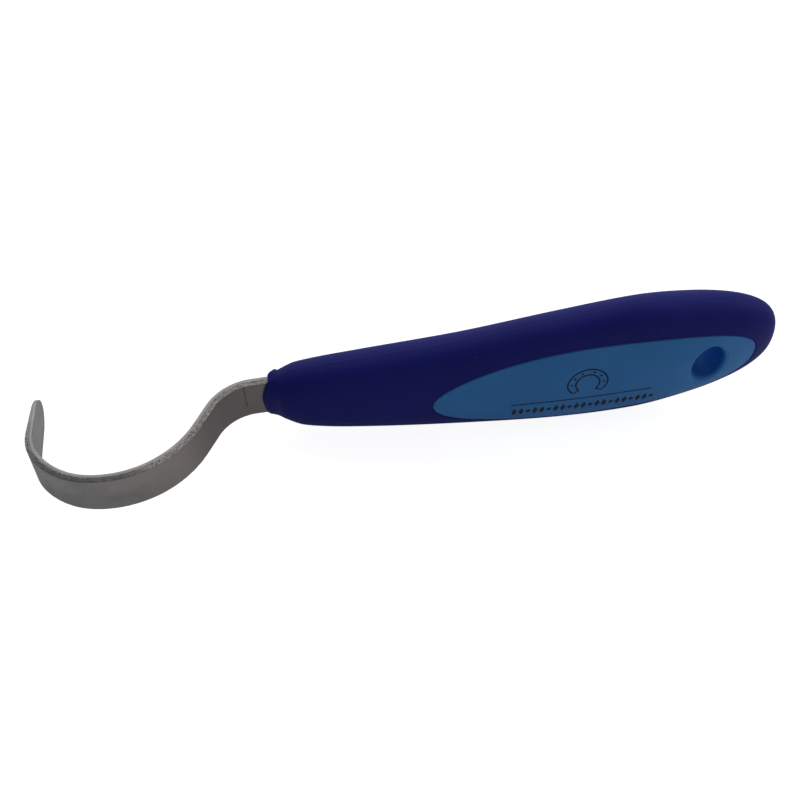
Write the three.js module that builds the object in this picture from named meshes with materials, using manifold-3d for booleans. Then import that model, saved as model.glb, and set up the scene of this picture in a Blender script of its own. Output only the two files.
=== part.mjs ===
// Soft-grip hoof pick: a bent steel strip moulded into a hard core, with a soft grip moulded over the core.
// Millimetres. +X runs along the handle from the hook to the butt, +Y is the side the hook opens to, and
// +Z is across the width of the strip. The origin is on the strip's inner wide face, on the short flat run
// between the handle's collar and the first bend. Lengths along the handle are measured from the nose.
import * as THREE from 'three';
import { mergeVertices } from 'three/addons/utils/BufferGeometryUtils.js';
import Module from 'manifold-3d';

const wasm = await Module();
wasm.setup();

// ---- driving dimensions ----

const STRIP_WIDTH = 12;
const STRIP_THICKNESS = 2.3;
const TIP_WIDTH = 9.1;
const TIP_THICKNESS = 0.83;
const TIP_LENGTH = 13.1; // the straight last stretch, up to the rounded end
const TIP_ROUND_LENGTH = 5.4;

// The hook's centre line from the handle outwards. A positive turn bends it away from +Y.
const NOSE_STRAIGHT = 3.3;
const TANG_START = -1.3; // where the strip steps down to the tang
const TANG_RELIEF = 0.05; // the step on each wide face, so that the flat in front of it is a face of its own
const SHOULDER_RADIUS = 13.3;
const SHOULDER_TURN = 55.7;
const NECK_STRAIGHT = 6.1;
const BELLY_RADIUS = 26.7;
const BELLY_TURN = 66.9;
const HEEL_RADIUS = 18.6;
const HEEL_TURN = 46.6;
const TOE_RADIUS = 12.8;
const TOE_TURN = 39.4;

const TANG_LENGTH = 58;
const TANG_HOLES = [24, 44];
const TANG_HOLE_RADIUS = 2.6;

const HANDLE_LENGTH = 133.2;
// [distance from the nose, half-width across Z, how far the palm side bulges, how far the back stands off]
const HANDLE_STATIONS = [
  [0, 7.4, 4.8, 4.6],
  [10, 10.2, 8.0, 5.3],
  [25, 12.1, 10.3, 5.3],
  [50, 14.8, 12.4, 4.8],
  [75, 17.9, 13.3, 5.2],
  [95, 19.1, 13.0, 5.8],
  [110, 17.2, 12.5, 6.7],
  [120, 16.4, 11.6, 6.5],
];
const SECTION_EXPONENT = 2.25;
const NOSE_ROUND = 8; // length of the rounding at the nose
const NOSE_FACTOR = 0.74; // how much of the section is left at the nose's end face
const NOSE_EXPONENT = 1.45;
// [length over which the butt closes, exponent of its curve]
const BUTT_WIDTH_CLOSING = [35, 2.8];
const BUTT_DEPTH_CLOSING = [41.5, 2.65];
const BUTT_STEPPED = 12; // length at the butt with closer rings
// The collar round the strip at the nose: [place, half-thickness, half-width]
const COLLAR_STATIONS = [
  [-1, 2.1, 6.7],
  [-0.4, 2.6, 7],
  [0.9, 3.5, 7.2],
  [2.5, 4.3, 7.2],
];
const COLLAR_EXPONENT = 4;
const CORE_INSET = 2.6; // thickness of the soft grip over the core
const CORE_START = 6;
const CORE_END_GAP = 3.2;

const WINDOW_START = 41;
const WINDOW_END = 126.4;
const WINDOW_WIDEST = 83;
const WINDOW_HALF_WIDTH = 13.2;
const WINDOW_BUTT_FULLNESS = [9, 12.5]; // how blunt the outline's butt end is on the +Z side and the -Z side

const HOLE_X = 113;
const HOLE_RADIUS = 4.3;
const HOLE_STRETCH = 1.4; // how much longer the oval hole is across Z
const HOLE_MOUTH = 1.6; // how much the mouth's fillet widens the hole

const GAP = 0.3; // between touching pieces

// ---- materials ----

const steel = new THREE.MeshStandardMaterial({ color: 0x8d8783, roughness: 0.42, metalness: 1.0 });
const corePlastic = new THREE.MeshStandardMaterial({ color: 0x2f78b0, roughness: 0.35, metalness: 0.0 });
const gripRubber = new THREE.MeshStandardMaterial({ color: 0x14164e, roughness: 0.6, metalness: 0.0 });

// ---- solids ----

function toManifold(geometry) {
  const bare = geometry.clone();
  bare.deleteAttribute('normal');
  bare.deleteAttribute('uv');
  const merged = mergeVertices(bare, 1e-4);
  return new wasm.Manifold(
    new wasm.Mesh({
      numProp: 3,
      vertProperties: new Float32Array(merged.attributes.position.array),
      triVerts: new Uint32Array(merged.index.array),
    }),
  );
}

function toMesh(solid, name, material) {
  const { vertProperties, triVerts } = solid.getMesh();
  const geometry = new THREE.BufferGeometry();
  geometry.setAttribute('position', new THREE.BufferAttribute(new Float32Array(vertProperties), 3));
  geometry.setIndex(new THREE.BufferAttribute(new Uint32Array(triVerts), 1));
  geometry.computeVertexNormals();
  const mesh = new THREE.Mesh(geometry, material);
  mesh.name = name;
  return mesh;
}

// A closed skin over a row of rings that all have the same number of points.
function loft(rings) {
  const count = rings[0].length;
  const positions = rings.flat().flatMap((p) => [p.x, p.y, p.z]);
  const index = [];
  for (let r = 0; r < rings.length - 1; r += 1) {
    for (let k = 0; k < count; k += 1) {
      const a = r * count + k;
      const b = r * count + ((k + 1) % count);
      index.push(a, b, a + count, b, b + count, a + count);
    }
  }
  for (const [r, flip] of [[0, true], [rings.length - 1, false]]) {
    const centre = rings[r].reduce((sum, p) => sum.add(p), new THREE.Vector3()).divideScalar(count);
    const c = positions.length / 3;
    positions.push(centre.x, centre.y, centre.z);
    for (let k = 0; k < count; k += 1) {
      const a = r * count + k;
      const b = r * count + ((k + 1) % count);
      index.push(...(flip ? [c, b, a] : [c, a, b]));
    }
  }
  const geometry = new THREE.BufferGeometry();
  geometry.setAttribute('position', new THREE.Float32BufferAttribute(positions, 3));
  geometry.setIndex(index);
  return geometry;
}

// ---- the steel strip ----

// Points on the hook's centre line, each with its heading, from the tang's end to the tip.
function hookPath() {
  const line = [];
  let at = new THREE.Vector2(TANG_LENGTH, -STRIP_THICKNESS / 2);
  let heading = Math.PI;
  const mark = (stretch) => line.push({ at: at.clone(), heading, stretch });
  const straight = (length, stretch) => {
    at.add(new THREE.Vector2(Math.cos(heading), Math.sin(heading)).multiplyScalar(length));
    mark(stretch);
  };
  const bend = (radius, degrees, stretch, stepDegrees = 4) => {
    const steps = Math.ceil(Math.abs(degrees) / stepDegrees);
    const turn = THREE.MathUtils.degToRad(degrees) / steps;
    for (let i = 0; i < steps; i += 1) {
      const chord = 2 * radius * Math.sin(Math.abs(turn) / 2);
      const along = heading + turn / 2;
      at.add(new THREE.Vector2(Math.cos(along), Math.sin(along)).multiplyScalar(chord));
      heading += turn;
      mark(stretch);
    }
  };
  mark('tang');
  straight(TANG_LENGTH - TANG_START, 'tang');
  mark('flat');
  straight(NOSE_STRAIGHT + TANG_START, 'flat');
  bend(SHOULDER_RADIUS, SHOULDER_TURN, 'shoulder');
  straight(NECK_STRAIGHT, 'neck');
  bend(BELLY_RADIUS, -BELLY_TURN, 'belly');
  bend(HEEL_RADIUS, -HEEL_TURN, 'heel');
  bend(TOE_RADIUS, -TOE_TURN, 'toe');
  const tipSteps = 6;
  for (let i = 0; i < tipSteps; i += 1) {
    straight((TIP_LENGTH - TIP_ROUND_LENGTH) / tipSteps, 'tip');
  }
  const roundSteps = 6;
  let done = 0;
  for (let i = 1; i <= roundSteps; i += 1) {
    const reach = TIP_ROUND_LENGTH * Math.sin((i / roundSteps) * 1.5);
    straight(reach - done, 'end');
    done = reach;
  }
  return line;
}

function stripSolid() {
  const path = hookPath();
  const lengths = [0];
  for (let i = 1; i < path.length; i += 1) {
    lengths.push(lengths[i - 1] + path[i].at.distanceTo(path[i - 1].at));
  }
  const taperStart = lengths[path.findIndex((p) => p.stretch === 'toe')];
  const roundStart = lengths[path.findIndex((p) => p.stretch === 'end') - 1];
  const total = lengths[lengths.length - 1];
  const rings = path.map(({ at, heading, stretch }, i) => {
    const taper = THREE.MathUtils.clamp((lengths[i] - taperStart) / (total - taperStart), 0, 1);
    const past = Math.max(0, lengths[i] - roundStart) / TIP_ROUND_LENGTH;
    const rounding = Math.sqrt(Math.max(0, 1 - past * past));
    const halfWidth = (THREE.MathUtils.lerp(STRIP_WIDTH, TIP_WIDTH, taper) / 2) * rounding;
    const relief = stretch === 'tang' ? TANG_RELIEF : 0;
    const halfThick = THREE.MathUtils.lerp(STRIP_THICKNESS, TIP_THICKNESS, taper) / 2 - relief;
    const inner = new THREE.Vector2(Math.sin(heading), -Math.cos(heading));
    const corner = (side, z) =>
      new THREE.Vector3(at.x + inner.x * side * halfThick, at.y + inner.y * side * halfThick, z);
    return [corner(1, halfWidth), corner(1, -halfWidth), corner(-1, -halfWidth), corner(-1, halfWidth)];
  });
  return toManifold(loft(rings));
}

function uprightCylinder(x, radius, height) {
  const geometry = new THREE.CylinderGeometry(radius, radius, height, 32);
  geometry.translate(x, -STRIP_THICKNESS / 2, 0);
  return toManifold(geometry);
}

// ---- the handle's outside ----

function stationSpline(column) {
  const points = HANDLE_STATIONS.map((row) => new THREE.Vector2(row[0], row[column]));
  return (x) => {
    const last = points.length - 1;
    let i = 0;
    while (i < last - 1 && x > points[i + 1].x) {
      i += 1;
    }
    const slope = (k) => {
      const before = points[Math.max(0, k - 1)];
      const after = points[Math.min(last, k + 1)];
      return (after.y - before.y) / (after.x - before.x);
    };
    const span = points[i + 1].x - points[i].x;
    const t = Math.min(1, (x - points[i].x) / span);
    const [m0, m1] = [slope(i) * span, slope(i + 1) * span];
    const cubic = (2 * t ** 3 - 3 * t ** 2 + 1) * points[i].y + (t ** 3 - 2 * t ** 2 + t) * m0
      + (-2 * t ** 3 + 3 * t ** 2) * points[i + 1].y + (t ** 3 - t ** 2) * m1;
    return cubic + Math.max(0, x - points[last].x) * slope(last);
  };
}

const halfWidthAt = stationSpline(1);
const palmAt = stationSpline(2);
const backAt = stationSpline(3);

// The handle's section at x, shrunk by inset: its centre in Y, half-thickness and half-width.
function sectionAt(x, inset = 0) {
  const closing = ([length, exponent]) => {
    const past = Math.max(0, x - (HANDLE_LENGTH - length)) / length;
    return Math.max(0, 1 - past ** exponent) ** (1 / exponent);
  };
  const short = Math.max(0, 1 - x / NOSE_ROUND);
  const nose = NOSE_FACTOR + (1 - NOSE_FACTOR) * (1 - short ** NOSE_EXPONENT);
  const palm = palmAt(x);
  const back = backAt(x);
  return {
    centre: (back - palm) / 2 - STRIP_THICKNESS / 2,
    halfThick: ((palm + back) / 2) * closing(BUTT_DEPTH_CLOSING) * nose - inset,
    halfWide: halfWidthAt(x) * closing(BUTT_WIDTH_CLOSING) * nose - inset,
  };
}

function roundedRing(x, { centre, halfThick, halfWide }, exponent = SECTION_EXPONENT, count = 36) {
  const ring = [];
  for (let k = 0; k < count; k += 1) {
    const angle = (k / count) * 2 * Math.PI;
    const power = (v) => Math.sign(v) * Math.abs(v) ** (2 / exponent);
    const y = centre + halfThick * power(Math.sin(angle));
    const z = halfWide * power(Math.cos(angle));
    ring.push(new THREE.Vector3(x, y, -z));
  }
  return ring;
}

function handleSolid(start, end, inset) {
  const places = [];
  const roundFrom = HANDLE_LENGTH - BUTT_STEPPED;
  for (let x = start; x < Math.min(start + NOSE_ROUND, roundFrom); x += 1.4) {
    places.push(x);
  }
  for (let x = start + NOSE_ROUND; x < roundFrom; x += 5) {
    places.push(x);
  }
  const buttSteps = 9;
  for (let i = 0; i <= buttSteps; i += 1) {
    places.push(roundFrom + (end - roundFrom) * Math.sin(((i / buttSteps) * Math.PI) / 2));
  }
  return toManifold(loft(places.map((x) => roundedRing(x, sectionAt(x, inset)))));
}

// The grip's collar, which hugs the strip where it leaves the nose.
function collarSolid() {
  const centre = -STRIP_THICKNESS / 2;
  const rings = COLLAR_STATIONS.map(([x, halfThick, halfWide]) =>
    roundedRing(x, { centre, halfThick, halfWide }, COLLAR_EXPONENT));
  return toManifold(loft(rings));
}

// The teardrop window's outline in X and Z, grown by margin.
function windowShape(margin) {
  const half = WINDOW_HALF_WIDTH + margin;
  const start = WINDOW_START - margin;
  const end = WINDOW_END + margin;
  const shape = new THREE.Shape();
  shape.moveTo(start, 0);
  shape.bezierCurveTo(start, 7, WINDOW_WIDEST - 20, half, WINDOW_WIDEST, half);
  const [upper, lower] = WINDOW_BUTT_FULLNESS;
  shape.bezierCurveTo(WINDOW_WIDEST + 22, half, end, upper, end, 0);
  shape.bezierCurveTo(end, -lower, WINDOW_WIDEST + 22, -half, WINDOW_WIDEST, -half);
  shape.bezierCurveTo(WINDOW_WIDEST - 20, -half, start, -7, start, 0);
  return shape;
}

function windowPrism(margin) {
  const depth = 60;
  const settings = { depth, bevelEnabled: false, curveSegments: 14 };
  const geometry = new THREE.ExtrudeGeometry(windowShape(margin), settings);
  geometry.translate(0, 0, -depth / 2);
  geometry.rotateX(Math.PI / 2);
  return toManifold(geometry);
}

// The hanging hole's cutter: a straight bore whose two mouths flare where they meet the palm and the back.
function hangingHole() {
  const { centre, halfThick } = sectionAt(HOLE_X);
  const reach = halfThick + 8;
  const flare = (side) => {
    const lip = centre + side * halfThick;
    return [0, 0.25, 0.5, 0.75, 1].map((t) => {
      const angle = (t * Math.PI) / 2;
      return new THREE.Vector2(
        HOLE_RADIUS + HOLE_MOUTH * (1 - Math.cos(angle)),
        lip + side * (HOLE_MOUTH * Math.sin(angle) - HOLE_MOUTH),
      );
    });
  };
  const mouth = HOLE_RADIUS + HOLE_MOUTH;
  const profile = [
    new THREE.Vector2(0, centre - reach),
    new THREE.Vector2(mouth, centre - reach),
    ...flare(-1).reverse(),
    ...flare(1),
    new THREE.Vector2(mouth, centre + reach),
    new THREE.Vector2(0, centre + reach),
  ];
  const geometry = new THREE.LatheGeometry(profile, 48);
  const extra = HOLE_RADIUS * (HOLE_STRETCH - 1);
  const position = geometry.attributes.position;
  for (let i = 0; i < position.count; i += 1) {
    const radius = Math.hypot(position.getX(i), position.getZ(i));
    if (radius > 1e-6) position.setZ(i, (position.getZ(i) * (radius + extra)) / radius);
  }
  geometry.translate(HOLE_X, 0, 0);
  return toManifold(geometry);
}

function box(from, to) {
  const size = to.clone().sub(from);
  const geometry = new THREE.BoxGeometry(size.x, size.y, size.z);
  geometry.translate((from.x + to.x) / 2, (from.y + to.y) / 2, (from.z + to.z) / 2);
  return toManifold(geometry);
}

// The space the tang fills, with its gap, open at the nose.
function tangSlot() {
  const half = STRIP_WIDTH / 2 + GAP;
  return box(
    new THREE.Vector3(-5, -STRIP_THICKNESS - GAP, -half),
    new THREE.Vector3(TANG_LENGTH + GAP, GAP, half),
  );
}

// ---- the pieces ----

// Bent steel strip: the pick, its hook and the tang inside the handle, with the tang's two locking holes.
function pickStrip() {
  let solid = stripSolid();
  for (const x of TANG_HOLES) {
    solid = solid.subtract(uprightCylinder(x, TANG_HOLE_RADIUS, 10));
  }
  return toMesh(solid, 'pick_strip', steel);
}

// Hard core: fills the handle inside the grip and rises flush with it in the two teardrop windows.
function handleCore() {
  const inside = handleSolid(CORE_START, HANDLE_LENGTH - CORE_END_GAP, CORE_INSET);
  const outside = handleSolid(0, HANDLE_LENGTH, 0);
  let solid = inside.add(outside.intersect(windowPrism(0)));
  solid = solid.subtract(tangSlot());
  for (const x of TANG_HOLES) {
    solid = solid.add(uprightCylinder(x, TANG_HOLE_RADIUS - GAP, STRIP_THICKNESS + 2));
  }
  return toMesh(solid.subtract(hangingHole()), 'handle_core', corePlastic);
}

// Soft grip: the skin moulded over the core, closed round the nose and the butt and open at the two windows.
function softGrip() {
  const outside = handleSolid(0, HANDLE_LENGTH, 0).add(collarSolid());
  const room = handleSolid(CORE_START - GAP, HANDLE_LENGTH - CORE_END_GAP + GAP, CORE_INSET - GAP);
  const shell = outside.subtract(room).subtract(windowPrism(GAP)).subtract(tangSlot());
  return toMesh(shell, 'soft_grip', gripRubber);
}

const fromNose = new THREE.Group();
fromNose.position.x = NOSE_STRAIGHT / 2;
fromNose.add(pickStrip(), handleCore(), softGrip());

const group = new THREE.Group();
group.name = 'hoof_pick';
group.add(fromNose);

export default group;
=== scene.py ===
import math

import bmesh
import bpy
from mathutils import Matrix, Vector, noise


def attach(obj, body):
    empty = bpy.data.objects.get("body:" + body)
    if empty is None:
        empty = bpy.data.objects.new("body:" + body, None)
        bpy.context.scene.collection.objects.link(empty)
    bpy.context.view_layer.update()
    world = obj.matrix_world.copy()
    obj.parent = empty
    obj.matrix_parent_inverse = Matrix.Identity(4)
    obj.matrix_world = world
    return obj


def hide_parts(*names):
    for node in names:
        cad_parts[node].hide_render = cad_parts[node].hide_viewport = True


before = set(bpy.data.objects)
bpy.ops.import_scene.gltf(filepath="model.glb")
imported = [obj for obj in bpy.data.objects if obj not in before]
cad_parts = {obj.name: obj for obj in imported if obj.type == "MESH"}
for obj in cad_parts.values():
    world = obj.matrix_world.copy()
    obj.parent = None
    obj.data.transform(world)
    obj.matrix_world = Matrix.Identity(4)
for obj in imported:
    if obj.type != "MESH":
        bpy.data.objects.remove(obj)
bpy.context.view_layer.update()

# ---- Pick strip ----
# One strip of mild steel, sheared 12 mm wide from 2.3 mm sheet and bent into the S-shaped hook. Its toe is
# thinner and narrower and ends in a half-round. The tang runs on into the handle, where two holes lock it.
# Lengths are millimetres from the handle's nose, and the whole tool sits 1.65 mm along +X from there.

MM = 0.001
NOSE_X = 1.65
STRIP_WIDTH = 12.0
STRIP_THICKNESS = 2.3
TIP_WIDTH = 9.1
TIP_THICKNESS = 0.83
TANG_LENGTH = 58.0
TIP_STRAIGHT = 13.1
TIP_ROUND = 5.4
TANG_HOLES = (24.0, 44.0)
TOE_RADIUS = 12.8
TOE_TURN = 39.4
# (length, turn in degrees) of each stretch from the tang's end; a positive turn bends away from +Y
STRIP_STRETCHES = (
    (TANG_LENGTH + 3.3, 0.0),
    (13.3 * math.radians(55.7), 55.7),
    (6.1, 0.0),
    (26.7 * math.radians(66.9), -66.9),
    (18.6 * math.radians(46.6), -46.6),
    (TOE_RADIUS * math.radians(TOE_TURN), -TOE_TURN),
    (TIP_STRAIGHT, 0.0),
)
STRIP_LENGTH = sum(length for length, _ in STRIP_STRETCHES)
TANG_HOLE_RADIUS = 2.6
TEAR_DEPTH = 0.35


class Term:
    """A socket of a node tree that can stand in sums and products. make() adds any other node."""

    def __init__(self, tree, socket=None):
        self.tree = tree
        self.socket = socket

    def make(self, kind, settings=None, inputs=None, out=0):
        node = self.tree.nodes.new(kind)
        for name, value in (settings or {}).items():
            setattr(node, name, value)
        for key, value in (inputs or {}).items():
            if isinstance(value, Term):
                self.tree.links.new(value.socket, node.inputs[key])
            else:
                node.inputs[key].default_value = value
        return Term(self.tree, node.outputs[out] if node.outputs else None)

    def maths(self, operation, *values):
        return self.make("ShaderNodeMath", {"operation": operation}, dict(enumerate(values)))

    def __add__(self, other):
        return self.maths("ADD", self, other)

    __radd__ = __add__

    def __sub__(self, other):
        return self.maths("SUBTRACT", self, other)

    def __rsub__(self, other):
        return self.maths("SUBTRACT", other, self)

    def __mul__(self, other):
        return self.maths("MULTIPLY", self, other)

    __rmul__ = __mul__

    def __truediv__(self, other):
        return self.maths("DIVIDE", self, other)

    def __rtruediv__(self, other):
        return self.maths("DIVIDE", other, self)

    def step(self, low, high):
        """0 below low, 1 above high and smooth between; low may be the larger."""
        return self.make(
            "ShaderNodeMapRange",
            {"interpolation_type": "SMOOTHSTEP"},
            {"Value": self, "From Min": low, "From Max": high, "To Min": 0.0, "To Max": 1.0},
        )

    def blend(self, below, above):
        """The colour below where this is 0 and above where it is 1."""
        return self.make("ShaderNodeMix", {"data_type": "RGBA"}, {0: self, 6: below, 7: above}, out=2)


def new_material(name):
    """A material with an empty tree, and the tree's first Term to build on."""
    material = bpy.data.materials.new(name)
    material.use_nodes = True
    material.node_tree.nodes.clear()
    return material, Term(material.node_tree)


def speckle(base, place, scale, detail=3.0, roughness=0.55):
    """Noise around 0.5 at so many cycles a metre."""
    return base.make(
        "ShaderNodeTexNoise",
        {"noise_dimensions": "3D"},
        {"Vector": place, "Scale": scale, "Detail": detail, "Roughness": roughness},
    )


def finish_surface(base, bump_height, bump_distance, fixed, **varying):
    """A Principled surface with its bump. fixed holds the shader's own values, varying its Terms."""
    inputs = dict(fixed)
    inputs.update({name.replace("_", " "): term for name, term in varying.items()})
    inputs["Normal"] = base.make(
        "ShaderNodeBump", {}, {"Height": bump_height, "Distance": bump_distance, "Strength": 1.0}
    )
    surface = base.make("ShaderNodeBsdfPrincipled", {}, inputs)
    base.make("ShaderNodeOutputMaterial", {}, {"Surface": surface})


def strip_centre_line():
    """Points on the strip's centre line, a little over 0.4 mm apart, from the tang's end to the tip."""
    x, y, heading = TANG_LENGTH, -STRIP_THICKNESS / 2, math.pi
    points = [(x, y)]
    for length, turn in STRIP_STRETCHES:
        steps = max(2, round(length / 0.45))
        for _ in range(steps):
            heading += math.radians(turn) / steps / 2
            x += math.cos(heading) * length / steps
            y += math.sin(heading) * length / steps
            heading += math.radians(turn) / steps / 2
            points.append((x, y))
    return [((px + NOSE_X) * MM, py * MM, 0.0) for px, py in points]


def sheared_outline():
    """The strip's section: thickness along x with the hook's inner face at +x, width along y. The shear rolls
    the inner corners over and leaves the outer ones nearly sharp."""
    half_thick, half_wide = STRIP_THICKNESS / 2, STRIP_WIDTH / 2
    rolled, sharp = 0.32, 0.1
    quarter = []
    for k in range(7):
        angle = k / 6 * math.pi / 2
        quarter.append(
            (half_thick - rolled * (1 - math.cos(angle)), half_wide - rolled * (1 - math.sin(angle)))
        )
    edge = [(half_thick * f, half_wide) for f in (0.45, 0.2, -0.1, -0.4, -0.65, -0.82)]
    for k in range(5):
        angle = k / 4 * math.pi / 2
        edge.append((-half_thick + sharp * (1 - math.sin(angle)), half_wide - sharp * (1 - math.cos(angle))))
    inner_face = [(half_thick, half_wide * f) for f in (0.0, 0.45, 0.8, 0.9)]
    outer_face = [(-half_thick, half_wide * f) for f in (0.95, 0.8, 0.45)]
    upper = inner_face + quarter + edge + outer_face
    lower = [(px, -py) for px, py in reversed(upper[1:])]
    middle = [(-half_thick, 0.0)]
    return [(px * MM, py * MM, 0.0) for px, py in upper + middle + lower]


def curve_of(name, points, closed):
    data = bpy.data.curves.new(name, "CURVE")
    data.dimensions = "3D"
    spline = data.splines.new("POLY")
    spline.points.add(len(points) - 1)
    for point, place in zip(spline.points, points):
        point.co = (*place, 1.0)
    spline.use_cyclic_u = closed
    made = bpy.data.objects.new(name, data)
    bpy.context.scene.collection.objects.link(made)
    return made


def new_geometry_tree(name, inputs):
    """A geometry tree with named inputs, its first Term, and the input Terms by name."""
    tree = bpy.data.node_groups.new(name, "GeometryNodeTree")
    tree.is_modifier = True
    for label, kind in inputs.items():
        tree.interface.new_socket(label, in_out="INPUT", socket_type="NodeSocket" + kind)
    tree.interface.new_socket("Geometry", in_out="OUTPUT", socket_type="NodeSocketGeometry")
    base = Term(tree)
    given = tree.nodes.new("NodeGroupInput")
    return base, {label: Term(tree, given.outputs[label]) for label in inputs}


def end_tree(base, geometry, material):
    """Closes a geometry tree with Realize Instances and Set Material."""
    real = base.make("GeometryNodeRealizeInstances", {}, {"Geometry": geometry})
    clad = base.make("GeometryNodeSetMaterial", {}, {"Geometry": real, "Material": material})
    base.make("NodeGroupOutput", {}, {"Geometry": clad})


def run_tree(name, carrier, base, values):
    """Runs the tree on the carrier object and returns its result as a plain mesh object."""
    modifier = carrier.modifiers.new(name, "NODES")
    modifier.node_group = base.tree
    for item in base.tree.interface.items_tree:
        if item.in_out == "INPUT" and item.name in values:
            modifier[item.identifier] = values[item.name]
    evaluated = carrier.evaluated_get(bpy.context.evaluated_depsgraph_get())
    mesh = bpy.data.meshes.new_from_object(evaluated)
    carrier.modifiers.remove(modifier)
    bpy.data.objects.remove(carrier)
    mesh.name = name
    made = bpy.data.objects.new(name, mesh)
    bpy.context.scene.collection.objects.link(made)
    return made


def steel_material():
    """Mill-finished mild steel. The wide faces drift from cool grey at the toe to brown and darker grey in
    the shoulder's bend, with a bending mark across it. The sheared edge is smooth next to its rolled corner,
    torn and pitted towards the sharp one, and ends in a fine bright burr. The edge's look fades out at the
    tip, where the strip is thin."""
    material, base = new_material("mill steel")
    place = base.make("ShaderNodeTexCoord", out=3)
    along = base.make("ShaderNodeAttribute", {"attribute_name": "along"}, out=2)
    through = base.make("ShaderNodeAttribute", {"attribute_name": "through"}, out=2)
    on_edge = base.make("ShaderNodeAttribute", {"attribute_name": "sheared"}, out=2)

    cloud = speckle(base, place, 90.0, 4.0, 0.6)
    drift = speckle(base, place, 28.0, 2.0, 0.5)
    grit = speckle(base, place, 1500.0, 2.0, 0.6)
    across = base.make("ShaderNodeSeparateXYZ", {}, {0: place}, out=2)
    stretched = base.make("ShaderNodeCombineXYZ", {}, {0: along * 220.0, 1: through * 1.6, 2: 0.0})
    grain = speckle(base, stretched, 1.0, 3.0, 0.65)

    brown = (along + 0.03 * (drift - 0.5)).step(0.118, 0.085)
    face = brown.blend((0.54, 0.535, 0.55, 1), (0.52, 0.465, 0.44, 1))
    face = cloud.step(0.42, 0.7).blend(face, (0.45, 0.42, 0.405, 1))
    shoulder = (along + 0.006 * (cloud - 0.5)).step(0.09, 0.074)
    face = (0.85 * shoulder).blend(face, (0.33, 0.295, 0.29, 1))
    mark_line = base.maths("ABSOLUTE", along - 0.0636 + 0.0018 * (drift - 0.5) + 0.02 * across)
    bending_mark = mark_line.step(0.0003, 0.00008) * through.step(-0.85, -0.95) * across.step(-0.004, -0.0005)
    face = (0.6 * bending_mark * cloud.step(0.35, 0.6)).blend(face, (0.14, 0.12, 0.12, 1))

    torn = (through + 0.5 * (grain - 0.5)).step(0.3, 0.12) * on_edge
    pits = speckle(base, place, 2300.0, 2.0, 0.7)
    stretched_patches = base.make("ShaderNodeCombineXYZ", {}, {0: along * 520.0, 1: through * 5.0, 2: 0.0})
    patches = speckle(base, stretched_patches, 1.0, 3.0, 0.6)
    fracture = patches.step(0.4, 0.65).blend((0.56, 0.54, 0.52, 1), (0.27, 0.255, 0.245, 1))
    fracture = pits.step(0.56, 0.64).blend(fracture, (0.8, 0.78, 0.76, 1))
    fracture = (0.8 * pits.step(0.43, 0.35)).blend(fracture, (0.12, 0.11, 0.105, 1))
    burnish = grain.step(0.3, 0.7).blend((0.56, 0.54, 0.52, 1), (0.42, 0.4, 0.385, 1))
    edge = torn.blend(burnish, fracture)
    burr = through.step(-0.8, -0.9) * pits.step(0.45, 0.55)
    edge = burr.blend(edge, (0.72, 0.7, 0.68, 1))
    heel = along.step(0.094, 0.104) * along.step(0.138, 0.122)
    edge = (0.65 * heel * through.step(0.6, -0.3)).blend(edge, (0.12, 0.11, 0.105, 1))
    toe = STRIP_LENGTH * MM
    on_edge = on_edge * along.step(toe - 0.009, toe - 0.016)
    colour = on_edge.blend(face, edge)

    roughness = 0.36 + 0.12 * cloud + 0.06 * on_edge + 0.16 * torn
    height = 0.35 * grit + 0.4 * cloud + torn * (1.6 * patches + 1.2 * pits) - 2.0 * bending_mark
    finish_surface(
        base,
        height,
        0.00006,
        {"Metallic": 1.0},
        Base_Color=colour,
        Roughness=roughness,
    )
    return material


strip_steel = steel_material()

strip_tree, given = new_geometry_tree(
    "tapered strip",
    {
        "Geometry": "Geometry",
        "Section": "Object",
        "Columns": "Int",
        "Taper from": "Float",
        "Round from": "Float",
        "Tip width": "Float",
        "Tip thickness": "Float",
        "Tear depth": "Float",
        "Steel": "Material",
    },
)
STRIP_ROWS = 560
ROUND_SHARE = 0.05  # share of the rows spent on the half-round end
sheet = strip_tree.make(
    "GeometryNodeMeshGrid",
    {},
    {"Size X": 1.0, "Size Y": 1.0, "Vertices X": STRIP_ROWS, "Vertices Y": given["Columns"]},
)
grid_place = strip_tree.make("GeometryNodeInputPosition")
row = strip_tree.make("ShaderNodeSeparateXYZ", {}, {0: grid_place}) + 0.5
column = strip_tree.make("ShaderNodeSeparateXYZ", {}, {0: grid_place}, out=1) + 0.5
into_round = strip_tree.maths("MAXIMUM", (row - (1.0 - ROUND_SHARE)) / ROUND_SHARE, 0.0) * (math.pi / 2)
run = strip_tree.maths("MINIMUM", row / (1.0 - ROUND_SHARE), 1.0) * given["Round from"]
run = run + (1.0 - given["Round from"]) * strip_tree.maths("SINE", into_round)
rounding = strip_tree.maths("COSINE", into_round)
taper = strip_tree.maths("MAXIMUM", (run - given["Taper from"]) / (1.0 - given["Taper from"]), 0.0)
capped = strip_tree.maths("GREATER_THAN", row, 0.5 / STRIP_ROWS)
across_scale = (1.0 - taper * (1.0 - given["Tip width"])) * rounding * capped
through_scale = (1.0 - taper * (1.0 - given["Tip thickness"])) * capped
line_place = strip_tree.make(
    "GeometryNodeSampleCurve", {"mode": "FACTOR"}, {"Curves": given["Geometry"], "Factor": run}, out=1
)
line_heading = strip_tree.make(
    "GeometryNodeSampleCurve", {"mode": "FACTOR"}, {"Curves": given["Geometry"], "Factor": run}, out=2
)
section = strip_tree.make("GeometryNodeObjectInfo", {}, {"Object": given["Section"]}, out=4)
column_number = strip_tree.maths("ROUND", column * (given["Columns"] - 1.0))
section_size = given["Columns"] - 1.0
section_index = strip_tree.maths("FLOORED_MODULO", column_number, section_size)
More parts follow.
